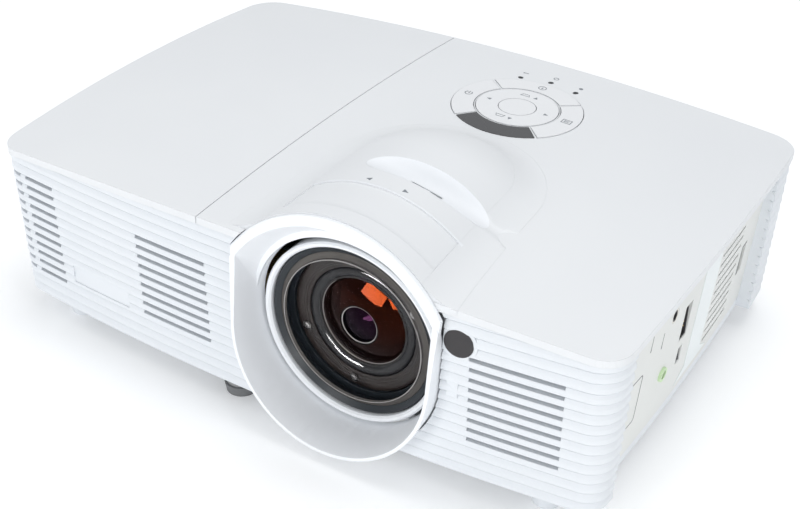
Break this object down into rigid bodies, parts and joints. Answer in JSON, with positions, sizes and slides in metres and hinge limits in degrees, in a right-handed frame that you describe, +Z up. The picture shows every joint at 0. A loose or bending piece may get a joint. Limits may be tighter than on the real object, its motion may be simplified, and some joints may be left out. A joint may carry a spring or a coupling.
{
  "type": "digital projector",
  "caption": "White short-throw desktop projector with ribbed vented casing, domed lens hood, keypad, adjustable feet and lamp optics inside.",
  "frame": {"origin": "centre of the bounding box's base: the plane the feet stand on, midway across and midway from the lens rim to the rear wall", "axes": "+X to the right seen from the front (connector side), +Y from the lens to the rear, +Z up"},
  "size_m": [0.314, 0.224, 0.1134],
  "materials": {
    "white_casing": "satin",
    "cover_white": "satin",
    "key_white": "satin",
    "panel_grey": "satin",
    "black_plastic": "satin",
    "window_dark": "glossy",
    "lens_glass": "coated",
    "light_pipe": "clear",
    "foot_rubber": "matt",
    "screw_grey": "satin",
    "steel": "bright",
    "cast_aluminium": "cast",
    "reflector": "polished",
    "wheel_glass": "coated",
    "circuit_board": "satin",
    "speaker_black": "matt"
  },
  "bodies": {
    "case": {"bottom_case": "white_casing", "front_bezel": "white_casing", "left_panel": "white_casing", "rear_panel": "white_casing", "io_panel": "panel_grey", "top_cover": "cover_white", "lens_surround": "white_casing", "lens_trim_ring": "black_plastic", "front_lens": "lens_glass", "lens_barrel": "black_plastic", "rear_lens": "lens_glass", "front_ir_window": "window_dark", "top_ir_window": "window_dark", "status_lights": "light_pipe", "keypad_board": "circuit_board", "front_feet": "white_casing", "video_port": "black_plastic", "service_port": "steel", "audio_jack": "black_plastic", "power_inlet": "black_plastic", "security_bar": "steel", "main_board": "circuit_board", "light_engine": "cast_aluminium", "chip_heatsink": "cast_aluminium", "colour_wheel_motor": "steel", "lamp_module": "black_plastic", "lamp_reflector": "reflector", "lamp_ballast": "circuit_board", "power_supply": "circuit_board", "exhaust_fan_frame": "black_plastic", "blower_housing": "black_plastic", "speaker": "speaker_black", "case_screws": "steel", "engine_screws": "steel"},
    "focus_ring": {"focus_ring": "white_casing"},
    "focus_cell": {"lens_baffle": "black_plastic", "inner_lens": "lens_glass"},
    "lamp_cover": {"lamp_cover": "cover_white"},
    "power_key": {"power_key": "key_white"},
    "menu_key": {"menu_key": "key_white"},
    "info_key": {"info_key": "key_white"},
    "enter_key": {"enter_key": "key_white"},
    "pad_pivot_ring": {"pad_pivot_ring": "black_plastic"},
    "direction_pad": {"direction_pad": "key_white"},
    "elevator_foot": {"elevator_foot": "foot_rubber"},
    "elevator_screw": {"elevator_screw": "screw_grey"},
    "rear_right_foot": {"rear_right_foot": "foot_rubber"},
    "rear_right_screw": {"rear_right_screw": "screw_grey"},
    "rear_left_foot": {"rear_left_foot": "foot_rubber"},
    "rear_left_screw": {"rear_left_screw": "screw_grey"},
    "colour_wheel": {"colour_wheel": "wheel_glass"},
    "exhaust_fan_rotor": {"exhaust_fan_rotor": "black_plastic"},
    "blower_rotor": {"blower_rotor": "black_plastic"}
  },
  "joints": [
    {"name": "focus_turn", "type": "hinge", "parent": "case", "child": "focus_ring", "pos_m": [0.0347, -0.0905, 0.0536], "axis": [0, 1, 0], "range_deg": [-5, 5]},
    {"name": "focus_shift", "type": "slide", "parent": "case", "child": "focus_cell", "axis": [0, 1, 0], "range_m": [-0.0008, 0.0008]},
    {"name": "lamp_cover_slide", "type": "slide", "parent": "case", "child": "lamp_cover", "axis": [-1, 0, 0], "range_m": [0, 0.012]},
    {"name": "power_key_press", "type": "slide", "parent": "case", "child": "power_key", "axis": [0, 0, -1], "range_m": [0, 0.0008], "stiffness_N_per_m": 700, "springref_m": -0.0004},
    {"name": "menu_key_press", "type": "slide", "parent": "case", "child": "menu_key", "axis": [0, 0, -1], "range_m": [0, 0.0008], "stiffness_N_per_m": 700, "springref_m": -0.0004},
    {"name": "info_key_press", "type": "slide", "parent": "case", "child": "info_key", "axis": [0, 0, -1], "range_m": [0, 0.0008], "stiffness_N_per_m": 700, "springref_m": -0.0004},
    {"name": "enter_key_press", "type": "slide", "parent": "case", "child": "enter_key", "axis": [0, 0, -1], "range_m": [0, 0.0008], "stiffness_N_per_m": 700, "springref_m": -0.0004},
    {"name": "pad_tilt_back", "type": "hinge", "parent": "case", "child": "pad_pivot_ring", "pos_m": [0.035, 0.0532, 0.085], "axis": [1, 0, 0], "range_deg": [-1, 1], "stiffness_Nm_per_rad": 1.2},
    {"name": "pad_tilt_side", "type": "hinge", "parent": "pad_pivot_ring", "child": "direction_pad", "pos_m": [0.035, 0.0532, 0.086], "axis": [0, 1, 0], "range_deg": [-1, 1], "stiffness_Nm_per_rad": 1.2},
    {"name": "elevator_lift", "type": "slide", "parent": "case", "child": "elevator_foot", "axis": [0, 0, -1], "range_m": [0, 0.008]},
    {"name": "elevator_turn", "type": "hinge", "parent": "elevator_foot", "child": "elevator_screw", "pos_m": [-0.024, -0.088, 0.008], "axis": [0, 0, -1], "range_deg": [0, 1921]},
    {"name": "rear_right_lift", "type": "slide", "parent": "case", "child": "rear_right_foot", "axis": [0, 0, -1], "range_m": [0, 0.008]},
    {"name": "rear_right_turn", "type": "hinge", "parent": "rear_right_foot", "child": "rear_right_screw", "pos_m": [0.13, 0.088, 0.008], "axis": [0, 0, -1], "range_deg": [0, 1921]},
    {"name": "rear_left_lift", "type": "slide", "parent": "case", "child": "rear_left_foot", "axis": [0, 0, -1], "range_m": [0, 0.008]},
    {"name": "rear_left_turn", "type": "hinge", "parent": "rear_left_foot", "child": "rear_left_screw", "pos_m": [-0.13, 0.088, 0.008], "axis": [0, 0, -1], "range_deg": [0, 1921]},
    {"name": "colour_wheel_spin", "type": "hinge", "parent": "case", "child": "colour_wheel", "pos_m": [-0.0235, 0.027, 0.05], "axis": [1, 0, 0], "continuous": true},
    {"name": "exhaust_fan_spin", "type": "hinge", "parent": "case", "child": "exhaust_fan_rotor", "pos_m": [-0.104, -0.072, 0.051], "axis": [0, 1, 0], "continuous": true},
    {"name": "blower_spin", "type": "hinge", "parent": "case", "child": "blower_rotor", "pos_m": [-0.03, 0.055, 0.02], "axis": [0, 0, 1], "continuous": true}
  ],
  "couplings": [
    {"joint": "focus_shift", "follows": "focus_turn", "m_per_rad": 0.009},
    {"joint": "elevator_turn", "follows": "elevator_lift", "rad_per_m": 4188.8},
    {"joint": "rear_right_turn", "follows": "rear_right_lift", "rad_per_m": 4188.8},
    {"joint": "rear_left_turn", "follows": "rear_left_lift", "rad_per_m": 4188.8}
  ]
}
